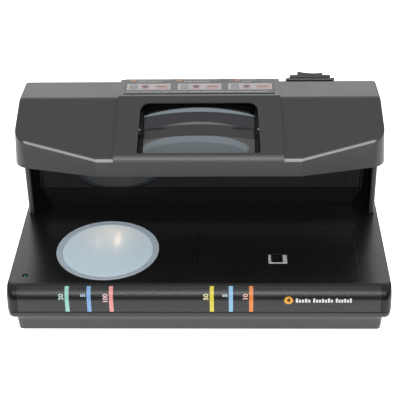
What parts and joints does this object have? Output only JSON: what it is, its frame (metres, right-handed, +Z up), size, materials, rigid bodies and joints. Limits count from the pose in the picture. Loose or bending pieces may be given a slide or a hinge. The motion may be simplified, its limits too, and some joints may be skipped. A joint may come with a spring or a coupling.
{
  "type": "counterfeit bill detector",
  "caption": "Countertop banknote checker: lit disc and magnetic head in a low deck, ultraviolet lamps behind the bay, magnifier window and rocker switch in an overhanging head.",
  "frame": {"origin": "on the floor under the middle of the base's footprint", "axes": "+X to the operator's right along the length, +Y to the rear, +Z up"},
  "size_m": [0.27, 0.15, 0.1398],
  "materials": {
    "charcoal_case": "fine textured satin",
    "black_deck": "satin",
    "black_plastic": "matte",
    "gloss_label": "gloss printed film",
    "dark_filter": "polished",
    "frosted_diffuser": "frosted",
    "grey_rim": "satin",
    "white_plastic": "satin",
    "lamp_glass": "polished",
    "clear_lens": "polished",
    "bright_metal": "brushed",
    "brass_pin": "polished",
    "winding_copper": "varnished",
    "board_green": "lacquered",
    "foot_rubber": "matte",
    "led_green": "clear tinted",
    "warm_lamp": "clear",
    "wire_sleeve": "satin"
  },
  "bodies": {
    "housing": {"base_screw_1": "bright_metal", "base_screw_2": "bright_metal", "base_screw_3": "bright_metal", "base_screw_4": "bright_metal", "bay_wall": "black_plastic", "bottom_tray": "charcoal_case", "cover_screw_1": "bright_metal", "cover_screw_2": "bright_metal", "cover_screw_3": "bright_metal", "cover_screw_4": "bright_metal", "deck_shell": "black_deck", "disc_diffuser": "frosted_diffuser", "disc_rim": "grey_rim", "front_label": "gloss_label", "head_holder": "black_plastic", "head_shell": "charcoal_case", "head_spring": "bright_metal", "head_underside": "black_plastic", "indicator_led": "led_green", "inlet_pin_1": "brass_pin", "inlet_pin_2": "brass_pin", "lamp_board": "board_green", "lamp_bulb": "warm_lamp", "lamp_cup": "white_plastic", "lamp_reflector": "bright_metal", "lamp_socket_left": "white_plastic", "lamp_socket_right": "white_plastic", "lamp_window": "dark_filter", "lens_bracket_left": "black_plastic", "lens_bracket_right": "black_plastic", "lens_well": "black_plastic", "magnifier_lens": "clear_lens", "main_board": "board_green", "mains_inlet": "black_plastic", "mains_lead": "wire_sleeve", "rear_cover": "charcoal_case", "rubber_foot_1": "foot_rubber", "rubber_foot_2": "foot_rubber", "rubber_foot_3": "foot_rubber", "rubber_foot_4": "foot_rubber", "sensor_plate": "black_deck", "side_wall_left": "charcoal_case", "side_wall_right": "charcoal_case", "sounder": "black_plastic", "switch_boss": "charcoal_case", "switch_housing": "black_plastic", "switch_lead": "wire_sleeve", "top_label": "gloss_label", "transformer_core": "bright_metal", "transformer_winding": "winding_copper", "tube_cap_lower_left": "bright_metal", "tube_cap_lower_right": "bright_metal", "tube_cap_upper_left": "bright_metal", "tube_cap_upper_right": "bright_metal", "uv_tube_lower": "lamp_glass", "uv_tube_upper": "lamp_glass", "window_panel": "charcoal_case"},
    "rocker": {"power_rocker": "black_plastic"},
    "sprung_head": {"magnetic_head": "bright_metal", "head_core": "black_plastic"}
  },
  "joints": [
    {"name": "rocker_tilt", "type": "hinge", "parent": "housing", "child": "rocker", "pos_m": [0.082, 0.06734, 0.13268], "axis": [0, 0.8383, -0.5451], "range_deg": [-6, 0]},
    {"name": "sensor_press", "type": "slide", "parent": "housing", "child": "sprung_head", "axis": [0, 0, -1], "range_m": [0, 0.0012], "stiffness_N_per_m": 800, "springref_m": -0.001, "deforming": ["head_spring"]}
  ]
}
